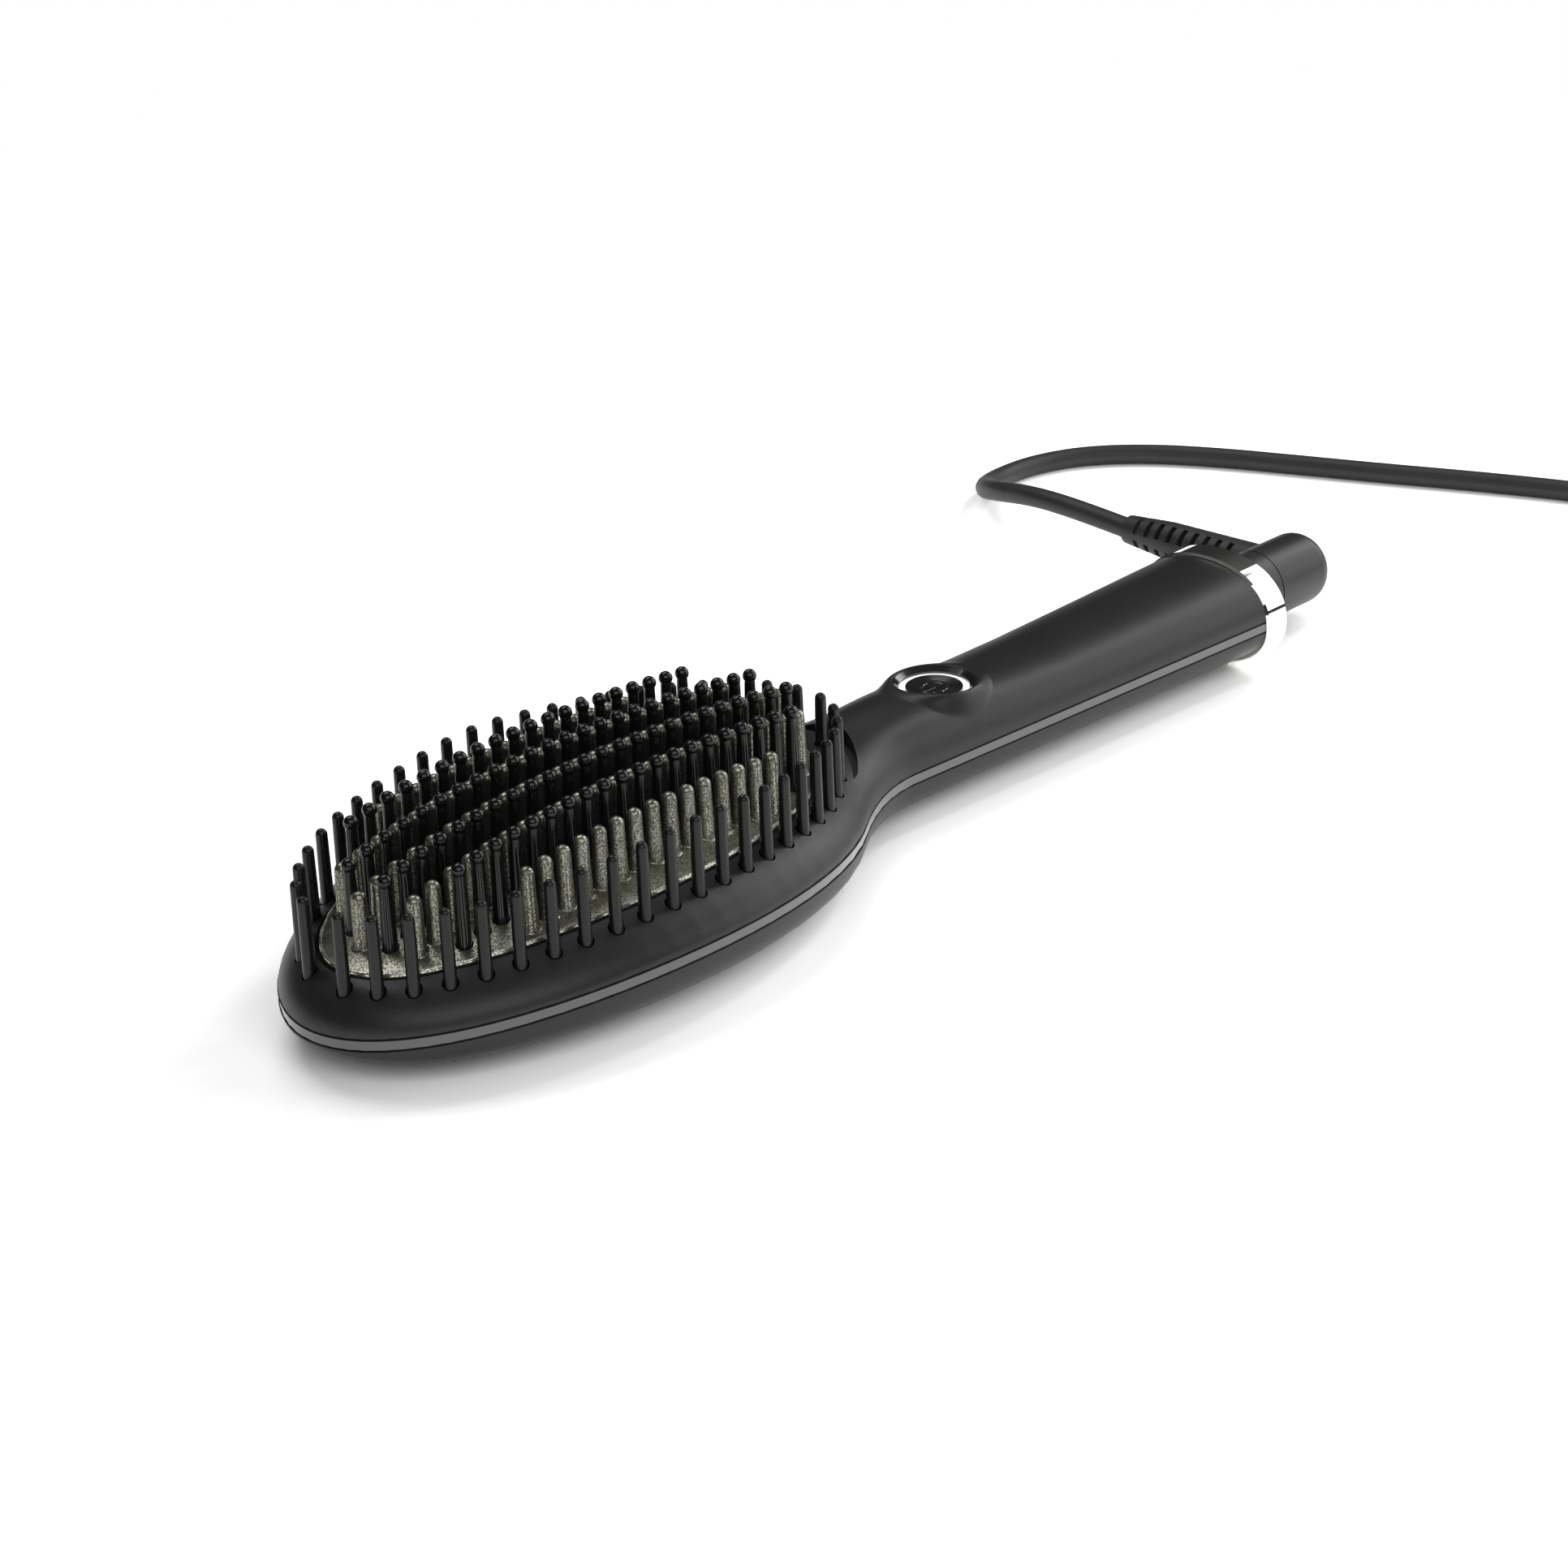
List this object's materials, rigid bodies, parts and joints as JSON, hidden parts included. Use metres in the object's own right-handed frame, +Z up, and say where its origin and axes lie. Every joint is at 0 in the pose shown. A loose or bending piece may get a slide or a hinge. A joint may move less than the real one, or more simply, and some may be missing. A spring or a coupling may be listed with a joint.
{
  "type": "heated hair straightening brush",
  "caption": "Heated hair straightening brush with an oval bristle head, ceramic fins, ball-tipped and guard pins, a lit power button and a swivel mains cord with a two-pin plug.",
  "frame": {"origin": "on the table under the middle of the brush's own length, without its cord", "axes": "+X from the head to the cord end, +Z up through the bristles, +Y to the side that the cord leaves"},
  "size_m": [0.5218, 0.1993, 0.0428],
  "materials": {
    "soft_shell": "matt soft-touch black",
    "gloss_band": "satin dark band",
    "screw_steel": "zinc plated",
    "ceramic_coat": "greenish bronze ceramic coating with fine flecks",
    "silicone": "matt black silicone",
    "gloss_nylon": "gloss black nylon",
    "satin_nylon": "semi-gloss black nylon",
    "grey_resin": "moulded heat-proof resin",
    "mica": "mica sheet",
    "heater_ceramic": "white ceramic",
    "gloss_trim": "gloss black rim",
    "clear_guide": "frosted white light guide",
    "board_green": "circuit board laminate",
    "lamp_white": "white lamp",
    "winding_copper": "copper",
    "wire_skin": "silicone insulation",
    "mirror_metal": "mirror plated",
    "satin_black": "satin black",
    "gloss_button": "gloss black with fine turned rings",
    "cord_rubber": "matt black rubber",
    "tie_strap": "black woven hook-and-loop strap",
    "pin_metal": "plated plug pins"
  },
  "bodies": {
    "root": {"upper_shell": "soft_shell", "lower_shell": "soft_shell", "trim_band": "gloss_band", "case_screws": "screw_steel", "heater_plate": "ceramic_coat", "plate_gasket": "silicone", "ball_pin_strip_1": "gloss_nylon", "ball_pin_strip_2": "gloss_nylon", "ball_pin_strip_3": "gloss_nylon", "ball_pin_strip_4": "gloss_nylon", "guard_pin_frame": "satin_nylon", "guard_pins": "satin_nylon", "heater_frame": "grey_resin", "heat_shield": "mica", "frame_screws": "screw_steel", "ceramic_heaters": "heater_ceramic", "heater_cushions": "silicone", "thermistor": "heater_ceramic", "thermal_fuse": "screw_steel", "button_bezel": "gloss_trim", "light_guide": "clear_guide", "tact_switch": "grey_resin", "main_board": "board_green", "board_screws": "screw_steel", "ring_lamps": "lamp_white", "capacitor": "grey_resin", "power_supply_coil": "winding_copper", "triac": "grey_resin", "terminal_block": "grey_resin", "heater_leads": "wire_skin", "mains_leads": "wire_skin", "end_ring": "mirror_metal", "end_collar": "satin_black", "swivel_retainer": "grey_resin", "sprung_contacts": "winding_copper", "button_spring": "screw_steel"},
    "power_button": {"power_button": "gloss_button"},
    "cord_swivel": {"swivel_barrel": "satin_black", "slip_ring": "winding_copper", "strain_relief": "cord_rubber", "power_cord": "cord_rubber", "cord_coil": "cord_rubber", "cord_tie": "tie_strap", "cord_tail": "cord_rubber", "plug_body": "cord_rubber", "plug_pins": "pin_metal"}
  },
  "joints": [
    {"name": "button_press", "type": "slide", "parent": "root", "child": "power_button", "axis": [0, 0, -1], "range_m": [0, 0.0007], "stiffness_N_per_m": 1200, "springref_m": -0.0005, "deforming": ["button_spring"]},
    {"name": "cord_turn", "type": "hinge", "parent": "root", "child": "cord_swivel", "pos_m": [0.126, 0, 0.0118], "axis": [1, 0, 0], "continuous": true}
  ]
}
